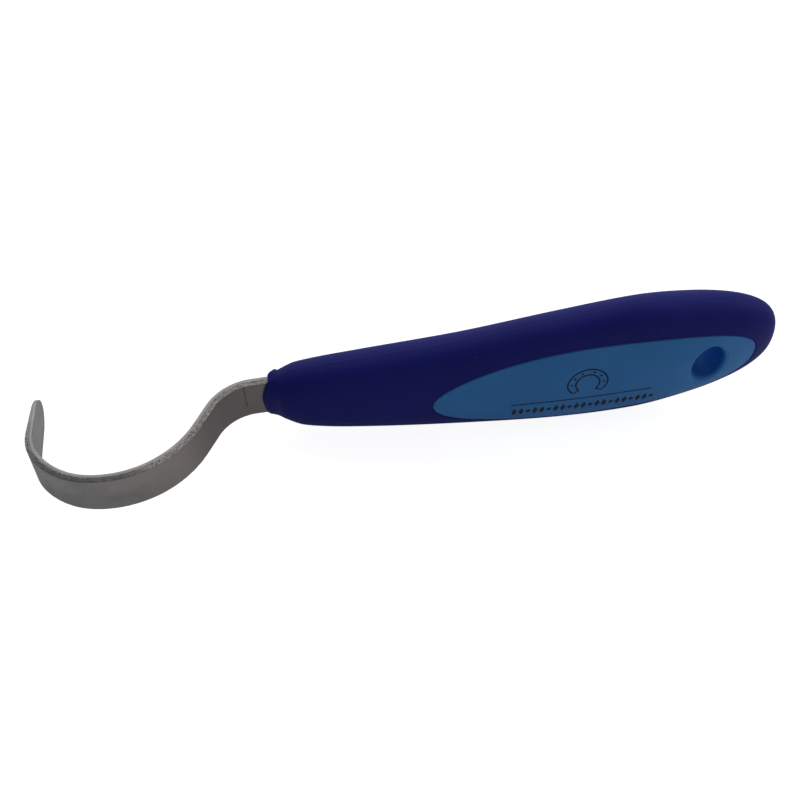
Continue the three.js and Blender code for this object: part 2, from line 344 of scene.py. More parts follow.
section_point = strip_tree.make(
    "GeometryNodeSampleIndex",
    {"data_type": "FLOAT_VECTOR", "domain": "POINT"},
    {"Geometry": section, "Value": strip_tree.make("GeometryNodeInputPosition"), "Index": section_index},
)
section_through = strip_tree.make("ShaderNodeSeparateXYZ", {}, {0: section_point})
section_across = strip_tree.make("ShaderNodeSeparateXYZ", {}, {0: section_point}, out=1)
heading_x = strip_tree.make("ShaderNodeSeparateXYZ", {}, {0: line_heading})
heading_y = strip_tree.make("ShaderNodeSeparateXYZ", {}, {0: line_heading}, out=1)
inward = strip_tree.make("ShaderNodeCombineXYZ", {}, {0: heading_y, 1: heading_x * -1.0, 2: 0.0})
lifted = strip_tree.make(
    "ShaderNodeVectorMath", {"operation": "SCALE"}, {0: inward, "Scale": section_through * through_scale}
)
widened = strip_tree.make("ShaderNodeCombineXYZ", {}, {2: section_across * across_scale})
moved = strip_tree.make("ShaderNodeVectorMath", {"operation": "ADD"}, {0: lifted, 1: widened})
moved = strip_tree.make("ShaderNodeVectorMath", {"operation": "ADD"}, {0: moved, 1: line_place})
through_share = section_through / (STRIP_THICKNESS / 2 * MM)
edge_share = strip_tree.maths("ABSOLUTE", section_across) / (STRIP_WIDTH / 2 * MM)
edge_share = edge_share.step(0.955, 0.995)
kept_values = (("along", run * (STRIP_LENGTH * MM)), ("through", through_share), ("sheared", edge_share))
for label, value in kept_values:
    sheet = strip_tree.make(
        "GeometryNodeStoreNamedAttribute",
        {"data_type": "FLOAT", "domain": "POINT"},
        {"Geometry": sheet, "Name": label, "Value": value},
    )
shaped = strip_tree.make("GeometryNodeSetPosition", {}, {"Geometry": sheet, "Position": moved})
welded = strip_tree.make("GeometryNodeMergeByDistance", {}, {"Geometry": shaped, "Distance": 0.000002})
# The torn part of the edge isn't quite flat.
kept_through, kept_sheared = [
    strip_tree.make("GeometryNodeInputNamedAttribute", {"data_type": "FLOAT"}, {"Name": label})
    for label in ("through", "sheared")
]
tear_place = strip_tree.make("GeometryNodeInputPosition")
tear = speckle(strip_tree, tear_place, 900.0, 3.0, 0.65) - 0.5
torn_here = kept_through.step(0.3, 0.0) * kept_sheared
tear_side = strip_tree.maths("SIGN", strip_tree.make("ShaderNodeSeparateXYZ", {}, {0: tear_place}, out=2))
tear_move = strip_tree.make(
    "ShaderNodeCombineXYZ", {}, {2: tear * torn_here * tear_side * given["Tear depth"]}
)
torn = strip_tree.make("GeometryNodeSetPosition", {}, {"Geometry": welded, "Offset": tear_move})
smooth = strip_tree.make("GeometryNodeSetShadeSmooth", {}, {"Geometry": torn})
end_tree(strip_tree, smooth, given["Steel"])

section_points = sheared_outline()
section_object = curve_of("strip section", section_points, True)
strip = run_tree(
    "hoof_pick_strip",
    curve_of("strip line", strip_centre_line(), False),
    strip_tree,
    {
        "Section": section_object,
        "Columns": len(section_points) + 1,
        "Taper from": 1.0 - (TIP_STRAIGHT + TOE_RADIUS * math.radians(TOE_TURN)) / STRIP_LENGTH,
        "Round from": 1.0 - TIP_ROUND / STRIP_LENGTH,
        "Tip width": TIP_WIDTH / STRIP_WIDTH,
        "Tip thickness": TIP_THICKNESS / STRIP_THICKNESS,
        "Tear depth": TEAR_DEPTH * MM,
        "Steel": strip_steel,
    },
)
bpy.data.objects.remove(section_object)


def face_outwards(made):
    """Welds the mesh and turns all its faces outwards."""
    work = bmesh.new()
    work.from_mesh(made.data)
    bmesh.ops.remove_doubles(work, verts=work.verts, dist=0.0000005)
    bmesh.ops.dissolve_degenerate(work, edges=work.edges, dist=0.0000001)
    bmesh.ops.recalc_face_normals(work, faces=work.faces)
    work.to_mesh(made.data)
    work.free()


def cut(made, tool, operation):
    """Joins or subtracts another solid, which is then gone."""
    modifier = made.modifiers.new("cut", "BOOLEAN")
    modifier.operation = operation
    modifier.solver = "EXACT"
    modifier.object = tool
    evaluated = made.evaluated_get(bpy.context.evaluated_depsgraph_get())
    mesh = bpy.data.meshes.new_from_object(evaluated)
    made.modifiers.remove(modifier)
    bpy.data.objects.remove(tool)
    mesh.name = made.data.name
    made.data = mesh


def solid_of(name, vertices, faces):
    mesh = bpy.data.meshes.new(name)
    mesh.from_pydata([tuple(v) for v in vertices], [], faces)
    made = bpy.data.objects.new(name, mesh)
    bpy.context.scene.collection.objects.link(made)
    face_outwards(made)
    return made


def round_pin(x, radius, depth):
    """A round solid across the strip's thickness, centred on its centre line."""
    count = 40
    vertices, faces = [], []
    for y in (-depth / 2, depth / 2):
        for k in range(count):
            turn = 2 * math.pi * (k + 0.37) / count
            vertices.append(
                (
                    (x + NOSE_X + radius * math.cos(turn)) * MM,
                    (y - STRIP_THICKNESS / 2) * MM,
                    radius * math.sin(turn) * MM,
                )
            )
    for k in range(count):
        after = (k + 1) % count
        faces.append((k, after, after + count, k + count))
    faces += [tuple(range(count)), tuple(range(2 * count - 1, count - 1, -1))]
    return solid_of("pin", vertices, faces)


face_outwards(strip)
for hole_x in TANG_HOLES:
    cut(strip, round_pin(hole_x, TANG_HOLE_RADIUS, 6.0), "DIFFERENCE")
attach(strip, "root")
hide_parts("pick_strip")

# ---- Handle core ----
# A hard blue plastic core, moulded first, round the tang. It fills the handle under the soft grip and rises
# flush with it in a teardrop window on the palm side and another on the back. The hanging hole joins the two.

HANDLE_LENGTH = 133.2
# distance from the nose, half-width across Z, bulge of the palm side, stand-off of the back
HANDLE_STATIONS = (
    (0.0, 7.4, 4.8, 4.6),
    (10.0, 10.2, 8.0, 5.3),
    (25.0, 12.1, 10.3, 5.3),
    (50.0, 14.8, 12.4, 4.8),
    (75.0, 17.9, 13.3, 5.2),
    (95.0, 19.1, 13.0, 5.8),
    (110.0, 17.2, 12.5, 6.7),
    (120.0, 16.4, 11.6, 6.5),
)
SQUARENESS = 2.25  # 2 would be a true ellipse
NOSE_ROUND = 8.0
NOSE_SHARE = 0.74
NOSE_POWER = 1.45
# length over which the butt closes, and the power of its curve
BUTT_WIDTH = (35.0, 2.8)
BUTT_DEPTH = (41.5, 2.65)
GRIP_THICKNESS = 2.6
WINDOW_START = 41.0
WINDOW_WIDEST = 83.0
WINDOW_END = 126.4
WINDOW_HALF_WIDTH = 13.2
BUTT_FULLNESS = {1: 9.0, -1: 12.5}  # how blunt the window's butt end is on the +Z side and on the -Z side
HOLE_X = 113.0
HOLE_RADIUS = 4.3
HOLE_STRETCH = 1.4  # the oval hole is this much longer across Z
HOLE_EXTRA = HOLE_RADIUS * (HOLE_STRETCH - 1.0)
HOLE_FILLET = 1.5
CORE_LIP = 0.3
CORE_START = 6.0
CORE_END_GAP = 3.2
PIN_GAP = 0.05


def through_stations(column, x):
    """A smooth curve through one column of the stations."""
    places = [row[0] for row in HANDLE_STATIONS]
    sizes = [row[column] for row in HANDLE_STATIONS]
    last = len(places) - 1
    slopes = []
    for k in range(last + 1):
        low, high = max(0, k - 1), min(last, k + 1)
        slopes.append((sizes[high] - sizes[low]) / (places[high] - places[low]))
    i = 0
    while i < last - 1 and x > places[i + 1]:
        i += 1
    span = places[i + 1] - places[i]
    t = min(1.0, (x - places[i]) / span)
    smooth_size = (
        (2 * t**3 - 3 * t**2 + 1) * sizes[i]
        + (t**3 - 2 * t**2 + t) * slopes[i] * span
        + (-2 * t**3 + 3 * t**2) * sizes[i + 1]
        + (t**3 - t**2) * slopes[i + 1] * span
    )
    return smooth_size + max(0.0, x - places[last]) * slopes[last]


def handle_section(x, inset=0.0):
    """Centre in Y, half-thickness and half-width of the handle at x, under a skin as thick as the inset."""
    def closing(length, power):
        past = max(0.0, x - (HANDLE_LENGTH - length)) / length
        return max(0.0, 1.0 - past**power) ** (1 / power)

    short = max(0.0, 1 - x / NOSE_ROUND)
    nose = NOSE_SHARE + (1 - NOSE_SHARE) * (1 - short**NOSE_POWER)
    half_wide, palm, back = (through_stations(column, x) for column in (1, 2, 3))
    return (
        (back - palm) / 2 - STRIP_THICKNESS / 2,
        (palm + back) / 2 * closing(*BUTT_DEPTH) * nose - inset,
        half_wide * closing(*BUTT_WIDTH) * nose - inset,
    )


def at(x, y, z):
    """A point in the tool's own frame, in metres, from one measured from the nose in millimetres."""
    return Vector(((x + NOSE_X) * MM, y * MM, z * MM))


def signed_power(value, power):
    return math.copysign(abs(value) ** power, value)


def skin_height(x, z, side, inset=0.0):
    """Y of the handle's surface over x and z, on the palm side (-1) or the back (+1)."""
    centre, half_thick, half_wide = handle_section(x, inset)
    share = min(1.0, abs(z) / half_wide)
    return centre + side * half_thick * (1 - share**SQUARENESS) ** (1 / SQUARENESS)


def window_places(count):
    """Places along the window's outline: (0 for the nose half or 1 for the butt half, share of that half)."""
    return [(0, k / count) for k in range(count + 1)] + [(1, k / count) for k in range(1, count + 1)]


def window_edge(places, offset=0.0, side=1):
    """X and distance from the middle of the window's outline on one side, moved outwards by the offset."""
    halves = (
        ((WINDOW_START, 0), (WINDOW_START, 7), (WINDOW_WIDEST - 20, WINDOW_HALF_WIDTH),
         (WINDOW_WIDEST, WINDOW_HALF_WIDTH)),
        ((WINDOW_WIDEST, WINDOW_HALF_WIDTH), (WINDOW_WIDEST + 22, WINDOW_HALF_WIDTH),
         (WINDOW_END, BUTT_FULLNESS[side]), (WINDOW_END, 0)),
    )
    points = []
    for half, t in places:
        a, b, c, d = halves[half]
        place = [
            (1 - t) ** 3 * a[i] + 3 * (1 - t) ** 2 * t * b[i] + 3 * (1 - t) * t * t * c[i] + t**3 * d[i]
            for i in (0, 1)
        ]
        run_x, run_z = [
            (1 - t) ** 2 * (b[i] - a[i]) + 2 * (1 - t) * t * (c[i] - b[i]) + t * t * (d[i] - c[i])
            for i in (0, 1)
        ]
        size = math.hypot(run_x, run_z)
        points.append((place[0] - run_z / size * offset, place[1] + run_x / size * offset))
    return points


def window_loop(count, offset):
    """The whole outline, from its nose end round the +Z side and back along the -Z side."""
    places = window_places(count)
    return window_edge(places, offset) + [(x, -z) for x, z in reversed(window_edge(places, offset, -1)[1:-1])]


def lip_rows(radius, steps):
    """(distance from the wall, depth under the surface) of a rounded lip, from its wall to its top."""
    return [
        (radius * (1 - math.cos(k / steps * math.pi / 2)), radius * (1 - math.sin(k / steps * math.pi / 2)))
        for k in range(steps + 1)
    ]


def core_window_body():
    """The part of the core that shows: both windows' faces, the wall between them and the hanging hole."""
    vertices, faces = [], []
    edge_count = 44
    hole_steps, bore_rows, face_rows = 8, 8, 44

    outline = window_loop(edge_count, 0.0)
    around = len(outline)
    lengths = [0.0]
    for k in range(around):
        a, b = outline[k], outline[(k + 1) % around]
        lengths.append(lengths[-1] + math.hypot(b[0] - a[0], b[1] - a[1]))
    turns = []
    for k, (x, z) in enumerate(outline):
        ray = math.atan2(z, x - HOLE_X) % (2 * math.pi)
        if k == 0:
            ray = math.pi
        elif k > around // 2 and ray < 0.01:
            ray = 2 * math.pi
        steady = (math.pi - 2 * math.pi * lengths[k] / lengths[-1]) % (2 * math.pi)
        if k == 0:
            steady = math.pi
        gap = (steady - ray + math.pi) % (2 * math.pi) - math.pi
        turns.append(ray + 0.5 * gap)

    rows = []
    for side in (-1, 1):
        hole_rows = []
        for step_number in range(hole_steps + 1):
            tilt = (1 - step_number / hole_steps) * math.pi / 2
            radius = HOLE_RADIUS + HOLE_FILLET * (1 - math.sin(tilt))
            depth = HOLE_FILLET * (1 - math.cos(tilt))
            hole_rows.append(
                [
                    (HOLE_X + radius * math.cos(turn), (radius + HOLE_EXTRA) * math.sin(turn), depth)
                    for turn in turns
                ]
            )
        rim = [(x, z) for x, z, _ in hole_rows[-1]]
        edge_rows = [
            [(x, z, depth) for x, z in window_loop(edge_count, -distance)]
            for distance, depth in lip_rows(CORE_LIP, 5)
        ]
        edge_rows.reverse()
        inner_edge = [(x, z) for x, z, _ in edge_rows[0]]
        middle_rows = []
        for k in range(1, face_rows):
            share = k / face_rows
            share = share - 0.12 * math.sin(2 * math.pi * share)
            middle_rows.append(
                [
                    (a[0] + (b[0] - a[0]) * share, a[1] + (b[1] - a[1]) * share, 0.0)
                    for a, b in zip(rim, inner_edge)
                ]
            )
        side_rows = hole_rows + middle_rows + edge_rows
        placed = [
            [at(x, skin_height(x, z, side) - side * depth, z) for x, z, depth in ring] for ring in side_rows
        ]
        if side > 0:
            placed.reverse()
        rows.append(placed)
    palm_rows, back_rows = rows
    wall = []
    for k in range(1, 6):
        wall.append([a.lerp(b, k / 6) for a, b in zip(palm_rows[-1], back_rows[0])])
    bore = []
    for k in range(1, bore_rows):
        bore.append([a.lerp(b, k / bore_rows) for a, b in zip(back_rows[-1], palm_rows[0])])
    rings = palm_rows + wall + back_rows + bore
    for ring in rings:
        vertices += ring
    for r in range(len(rings)):
        for k in range(around):
            a = r * around + k
            b = r * around + (k + 1) % around
            c = ((r + 1) % len(rings)) * around + (k + 1) % around
            d = ((r + 1) % len(rings)) * around + k
            faces.append((a, b, c, d))
    return solid_of("handle_core_piece", vertices, faces)


def handle_ring(x, inset, count):
    centre, half_thick, half_wide = handle_section(x, inset)
    ring = []
    for k in range(count):
        turn = 2 * math.pi * k / count
        y = centre + half_thick * signed_power(math.sin(turn), 2 / SQUARENESS)
        z = half_wide * signed_power(math.cos(turn), 2 / SQUARENESS)
        ring.append(at(x, y, z))
    return ring


def core_filling():
    """The hidden part of the core under the soft grip."""
    start, end, count = CORE_START, HANDLE_LENGTH - CORE_END_GAP, 72
    places = [start + k * 1.6 for k in range(int((end - 8 - start) / 1.6))]
    places += [end - 8 * (1 - math.sin(k / 10 * math.pi / 2)) for k in range(11)]
    vertices = [point for x in places for point in handle_ring(x, GRIP_THICKNESS, count)]
    faces = []
    for r in range(len(places) - 1):
        for k in range(count):
            a, b = r * count + k, r * count + (k + 1) % count
            faces.append((a, b, b + count, a + count))
    last = (len(places) - 1) * count
    faces += [tuple(range(count)), tuple(last + k for k in reversed(range(count)))]
    return solid_of("core_filling", vertices, faces)


def window_block(offset, depth):
    """A straight block with the window's outline."""
    outline = window_loop(20, offset)
    count = len(outline)
    vertices = [at(x, y, z) for y in (-depth, depth) for x, z in outline]
    faces = [(k, (k + 1) % count, (k + 1) % count + count, k + count) for k in range(count)]
    faces += [tuple(range(count)), tuple(range(2 * count - 1, count - 1, -1))]
    return solid_of("window_block", vertices, faces)


def tang_room(gap, start, end):
    """The room that the tang fills."""
    low = (start, -STRIP_THICKNESS - gap, -STRIP_WIDTH / 2 - gap)
    high = (end, gap, STRIP_WIDTH / 2 + gap)
    vertices = [at(x, y, z) for x in (low[0], high[0]) for y in (low[1], high[1]) for z in (low[2], high[2])]
    faces = [(0, 1, 3, 2), (4, 6, 7, 5), (0, 4, 5, 1), (2, 3, 7, 6), (0, 2, 6, 4), (1, 5, 7, 3)]
    return solid_of("tang_room", vertices, faces)


def core_material():
    """Hard satin plastic in mid blue, a little cloudy, with the faintest mottle of a textured mould."""
    material, base = new_material("core plastic")
    place = base.make("ShaderNodeTexCoord", out=3)
    cloud = speckle(base, place, 55.0, 2.0, 0.5)
    fine = speckle(base, place, 2400.0, 2.0, 0.6)
    colour = cloud.step(0.3, 0.7).blend((0.045, 0.28, 0.74, 1), (0.055, 0.31, 0.81, 1))
    # A stand-in for shade: the bore is painted a deeper blue than the rest, whatever the light is.
    from_axis = base.make("ShaderNodeSeparateXYZ", {}, {0: place}) - (HOLE_X + NOSE_X) * MM
    from_axis = from_axis / (HOLE_RADIUS * MM)
    from_side = base.make("ShaderNodeSeparateXYZ", {}, {0: place}, out=2)
    from_side = from_side / (HOLE_RADIUS * HOLE_STRETCH * MM)
    bore = (from_axis * from_axis + from_side * from_side).step(1.45, 1.0)
    colour = (0.5 * bore).blend(colour, (0.0, 0.13, 0.55, 1))
    finish_surface(
        base,
        0.5 * fine + 0.3 * cloud,
        0.00002,
        {"IOR": 1.49, "Specular IOR Level": 0.35},
        Base_Color=colour,
        Roughness=0.42 + 0.08 * fine,
    )
    return material


core = core_window_body()
filling = core_filling()
cut(filling, window_block(-0.5, 40.0), "DIFFERENCE")
cut(core, filling, "UNION")
cut(core, tang_room(PIN_GAP, -2.0, TANG_LENGTH + 0.3), "DIFFERENCE")
for hole_x in TANG_HOLES:
    cut(core, round_pin(hole_x, TANG_HOLE_RADIUS - PIN_GAP, STRIP_THICKNESS + 2.0), "UNION")
core.data.shade_smooth()
core.data.materials.clear()
core.data.materials.append(core_material())
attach(core, "root")
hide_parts("handle_core")

# ---- Soft grip ----
# A skin of soft navy rubber, moulded over the core in a second shot. It closes round the butt, stops at a
# rounded lip along each window, and ends at the nose in a ragged collar of flash that hugs the strip.

GRIP_LIP = 0.4
WINDOW_SAMPLES = 60
ARC_COLUMNS = 40
COLLAR_GAP = 0.05


def grip_arc(edge_turn):
    """Turns from the palm window's edge round the +Z side to the back window's, closer at the seam."""
    turns = [-edge_turn + 2 * edge_turn * k / ARC_COLUMNS for k in range(ARC_COLUMNS + 1)]
    near = [turn for turn in turns if abs(turn) > 0.03]
    half = len(near) // 2
    return near[:half] + [-0.02, -0.01, 0.0, 0.01, 0.02] + near[half:]


def grip_ring(x, inset, edge_turns=(math.pi / 2, math.pi / 2)):
    """The ring's +Z arc and -Z arc. Outside, a fine ridge marks where the mould's halves met."""
    centre, half_thick, half_wide = handle_section(x, inset)
    arcs = []
    for sign, edge_turn in zip((1, -1), edge_turns):
        arc = []
        for turn in grip_arc(edge_turn):
            y = centre + half_thick * signed_power(math.sin(turn), 2 / SQUARENESS)
            z = sign * half_wide * signed_power(math.cos(turn), 2 / SQUARENESS)
            if inset == 0.0 and abs(turn) < 0.015:
                z += sign * 0.05 * (1 - abs(turn) / 0.015)
            arc.append(at(x, y, z))
        arcs.append(arc)
    return arcs


def collar_ring(x, half_thick, half_wide, squareness, lift, shown):
    """A ring round the strip, lifted towards the back. shown is its share in the flash's ragged reach."""
    arcs = []
    for sign in (1, -1):
        arc = []
        for turn in grip_arc(math.pi / 2):
            across, through = math.cos(turn), 0.45 * math.sin(turn)
            size = (abs(across) / half_wide) ** squareness + (abs(through) / half_thick) ** squareness
            size = size ** (-1 / squareness)
            y, z = through * size - STRIP_THICKNESS / 2 + lift, sign * across * size
            arc.append(at(x + shown * flash_front(y, z), y, z))
        arcs.append(arc)
    return arcs


def flash_front(y, z):
    """How far along the strip the flash's ragged front lies: a lobe over the palm face, a notch at the
    strip's +Z corner, and a slight flap over the sheared edge and the back."""
    angle = math.atan2((y + STRIP_THICKNESS / 2) * 3.0, z)
    lobe = math.exp(-(abs((angle + 1.72) / 1.02) ** 3))
    flap = math.exp(-(((angle - 0.75) / 0.7) ** 4))
    rag = noise.noise(Vector((1.6 * math.cos(angle), 1.6 * math.sin(angle), 4.7)))
    return 1.05 - 2.15 * lobe - 0.1 * flap - 0.2 * rag


def turn_at(x, z, inset=0.0):
    """Turn from the +Z seam at which the skin reaches so far across."""
    half_wide = handle_section(x, inset)[2]
    return math.acos(min(1.0, (max(0.0, z) / half_wide)) ** (SQUARENESS / 2))


def facing_places(places, offset):
    """Places on the outline's -Z side that are level with the given ones on its +Z side."""
    level = []
    for (half, t), (x, _) in zip(places, window_edge(places, offset)):
        low, high = 0.0, 1.0
        for _ in range(30 if half else 0):
            middle = (low + high) / 2
            if window_edge([(1, middle)], offset, -1)[0][0] < x:
                low = middle
            else:
                high = middle
        level.append((1, (low + high) / 2) if half else (0, t))
    return level


def grip_solid():
    places = {1: window_places(WINDOW_SAMPLES)}
    places[-1] = facing_places(places[1], GRIP_LIP + 0.25)
    wall_places = {1: places[1], -1: facing_places(places[1], 0.05)}
    outer_edge = {side: window_edge(places[side], GRIP_LIP + 0.25, side) for side in (1, -1)}
    wall_edge = {side: window_edge(wall_places[side], 0.05, side) for side in (1, -1)}
    first_x, last_x = outer_edge[1][0][0], outer_edge[1][-1][0]
    before = [3.6, 4.5, 5.4, 6.2, 7.1]
    steps = 26
    before += [8.0 + (first_x - 8.0) * k / steps for k in range(steps)]
    after = [last_x + (HANDLE_LENGTH - last_x) * math.sin(k / 16 * math.pi / 2) for k in range(1, 17)]
    stations = before + [x for x, _ in outer_edge[1]] + after
    window_from, window_to = len(before), len(before) + len(outer_edge[1]) - 1
    room_start, room_end = 5.7, HANDLE_LENGTH - 2.9
    room_inset = GRIP_THICKNESS - 0.05

    vertices, faces = [], []

    def add_ring(points):
        start = len(vertices)
        vertices.extend(points)
        return list(range(start, start + len(points)))

    def skin(first, second):
        for a, b, c, d in zip(first, first[1:], second[1:], second):
            faces.append((a, b, c, d))

    # From inside the room, out through the collar, and over the outside to the butt.
    wide, thick = STRIP_WIDTH / 2 + COLLAR_GAP, STRIP_THICKNESS / 2 + COLLAR_GAP
    collar = (
        # place along X, half-thickness, half-width, squareness, lift towards the back, share of the flash
        (room_start, thick, wide, 14.0, 0.0, 0.0),
        (1.5, thick, wide, 14.0, 0.0, 0.0),
        (0.35, thick, wide, 14.0, 0.0, 1.0),
        (0.05, thick + 0.12, wide + 0.12, 10.0, 0.0, 1.0),
        (-0.05, thick + 0.35, wide + 0.28, 7.0, 0.05, 1.0),
        (0.05, thick + 0.65, wide + 0.45, 5.5, 0.1, 1.0),
        (0.35, thick + 0.95, wide + 0.65, 4.5, 0.2, 1.0),
        (0.8, thick + 1.45, wide + 0.85, 3.8, 0.25, 0.9),
        (1.3, thick + 1.8, wide + 1.0, 3.3, 0.25, 0.7),
        (1.8, thick + 2.15, wide + 1.1, 3.0, 0.2, 0.45),
        (2.3, thick + 2.65, wide + 1.2, 2.75, 0.15, 0.2),
        (2.8, thick + 3.2, wide + 1.35, 2.55, 0.05, 0.05),
    )
    rings = [collar_ring(*row) for row in collar]
    outer = []
    for number, x in enumerate(stations):
        if window_from <= number <= window_to:
            turns = [turn_at(x, outer_edge[side][number - window_from][1]) for side in (1, -1)]
            outer.append(grip_ring(x, 0.0, turns))
        else:
            outer.append(grip_ring(x, 0.0))
    inner = []
    for number in range(len(stations)):
        if number < window_from:
            share = number / window_from
            inner.append(grip_ring(room_start + (WINDOW_START - room_start) * share, room_inset))
        elif number > window_to:
            share = (number - window_to) / (len(stations) - 1 - window_to)
            inner.append(grip_ring(WINDOW_END + 0.2 + (room_end - WINDOW_END - 0.2) * share, room_inset))
        else:
            x = wall_edge[1][number - window_from][0]
            turns = [turn_at(x, wall_edge[side][number - window_from][1], room_inset) for side in (1, -1)]
            inner.append(grip_ring(x, room_inset, turns))

    collar_ids = [[add_ring(arc) for arc in ring] for ring in rings]
    outer_ids = [[add_ring(arc) for arc in ring] for ring in outer]
    inner_ids = [[add_ring(arc) for arc in ring] for ring in inner]
    butt_middle = sum((v for arc in inner[-1] for v in arc), Vector()) / sum(len(arc) for arc in inner[-1])
    butt_ids = [add_ring([butt_middle] * len(arc)) for arc in inner[-1]]
    chain = collar_ids + outer_ids
    for first, second in zip(chain, chain[1:]):
        for arc in (0, 1):
            skin(first[arc], second[arc])
    for first, second in zip(inner_ids, inner_ids[1:]):
        for arc in (0, 1):
            skin(first[arc], second[arc])
    for arc in (0, 1):
        skin(inner_ids[-1][arc], butt_ids[arc])
        skin(inner_ids[0][arc], collar_ids[0][arc])

    # Each window's lip and the wall below it.
    for side, end in ((-1, 0), (1, -1)):
        for arc, sign in ((0, 1), (1, -1)):
            rows = []
            for distance, depth in reversed(lip_rows(GRIP_LIP, 5)):
                edge = window_edge(places[sign], 0.05 + distance, sign)
                rows.append(
                    add_ring(
                        [at(x, skin_height(x, z, side) - side * depth, sign * z) for x, z in edge]
                    )
                )
            outer_row = [outer_ids[k][arc][end] for k in range(window_from, window_to + 1)]
            inner_row = [inner_ids[k][arc][end] for k in range(window_from, window_to + 1)]
            chain = [outer_row] + rows + [inner_row]
            for first, second in zip(chain, chain[1:]):
                skin(first, second)
    return solid_of("soft_grip_piece", vertices, faces)


def grip_material():
    """Soft navy rubber: a satin sheen with slow drifts, fine pores and a few pale specks of dust."""
    material, base = new_material("grip rubber")
    place = base.make("ShaderNodeTexCoord", out=3)
    drift = speckle(base, place, 40.0, 2.0, 0.5)
    pores = speckle(base, place, 3200.0, 2.0, 0.55)
    cloud = speckle(base, place, 160.0, 3.0, 0.55)
    colour = drift.step(0.3, 0.7).blend((0.018, 0.022, 0.25, 1), (0.021, 0.026, 0.29, 1))
    dust = speckle(base, place, 1300.0, 1.0, 0.4).step(0.77, 0.82)
    colour = (dust * 0.5).blend(colour, (0.12, 0.12, 0.25, 1))
    finish_surface(
        base,
        0.6 * pores + 0.6 * cloud,
        0.00003,
        {"IOR": 1.5, "Specular IOR Level": 0.14},
        Base_Color=colour,
        Roughness=0.46 + 0.12 * cloud,
    )
    return material


grip = grip_solid()
grip.data.shade_smooth()
grip.data.materials.append(grip_material())
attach(grip, "root")
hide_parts("soft_grip")

# ---- Printed mark ----
# Dark ink pad-printed on the palm window: a plain horseshoe in outline with its nail holes, a thin rule, and
# under it a row of small lozenges. It is a plain ornament that stands where such tools carry a print.

INK_RISE = 0.035
INK_SINK = 0.01
INK_WIDTH = 0.42
SHOE_X, SHOE_Z = 80.5, 2.2
HEEL_WIDTH = 0.4
NAIL_WIDTH = 0.5
RULE_WIDTH = 0.38


def ink_stroke(vertices, faces, path, width):
    """Adds a thin flat stroke that follows the palm window's surface."""
    start = len(vertices)
    for k, (x, z) in enumerate(path):
        before, after = path[max(0, k - 1)], path[min(len(path) - 1, k + 1)]
        run = Vector((after[0] - before[0], after[1] - before[1])).normalized() * (width / 2)
        for side in (1, -1):
            px, pz = x - side * run.y, z + side * run.x
            for lift in (INK_RISE, -INK_SINK):
                vertices.append(at(px, skin_height(px, pz, -1) - lift, pz))
    for k in range(len(path) - 1):
        a, b = start + 4 * k, start + 4 * (k + 1)
        for i, j in ((0, 2), (2, 3), (3, 1), (1, 0)):
            faces.append((a + i, a + j, b + j, b + i))
    last = start + 4 * (len(path) - 1)
    faces += [(start, start + 1, start + 3, start + 2), (last, last + 2, last + 3, last + 1)]


def shoe_curve(half_wide, height, top):
    """An open horseshoe curve from one heel over the toe to the other."""
    path = []
    for k in range(49):
        turn = math.radians(-42 + 264 * k / 48)
        narrowing = 1.0 if math.sin(turn) > 0 else 1.0 - 0.12 * math.sin(turn) ** 2
        path.append((SHOE_X + half_wide * math.cos(turn) * narrowing, SHOE_Z + top + height * math.sin(turn)))
    return path


def printed_strokes():
    vertices, faces = [], []
    outer, inner = shoe_curve(5.2, 5.0, 0.2), shoe_curve(3.1, 3.3, 0.05)
    for path in (outer, inner):
        ink_stroke(vertices, faces, path, INK_WIDTH)
    for end in (0, -1):
        a, b = outer[end], inner[end]
        heel = [(a[0] + (b[0] - a[0]) * t, a[1] + (b[1] - a[1]) * t) for t in (0, 0.5, 1)]
        ink_stroke(vertices, faces, heel, HEEL_WIDTH)
    middle = shoe_curve(4.15, 4.15, 0.12)
    for place in (8, 14, 20, 28, 34, 40):
        (ax, az), (bx, bz) = middle[place - 1], middle[place + 1]
        nail = [(ax + (bx - ax) * t, az + (bz - az) * t) for t in (0.1, 0.5, 0.9)]
        ink_stroke(vertices, faces, nail, NAIL_WIDTH)
    rule = [(61.0 + 37.0 * k / 60, -2.7 - 1.5 * k / 60) for k in range(61)]
    ink_stroke(vertices, faces, rule, RULE_WIDTH)
    return solid_of("printed_mark", vertices, faces)


def ink_material():
    """Blue-black pad-printing ink, thin enough for its density to vary a little."""
    material, base = new_material("print ink")
    place = base.make("ShaderNodeTexCoord", out=3)
    density = speckle(base, place, 900.0, 2.0, 0.6)
    colour = density.step(0.35, 0.75).blend((0.006, 0.012, 0.03, 1), (0.016, 0.035, 0.075, 1))
    finish_surface(
        base,
        density,
        0.00001,
        {"Specular IOR Level": 0.3},
        Base_Color=colour,
        Roughness=0.5 + 0.1 * density,
    )
    return material


ink = ink_material()
mark = printed_strokes()
mark.data.materials.append(ink)

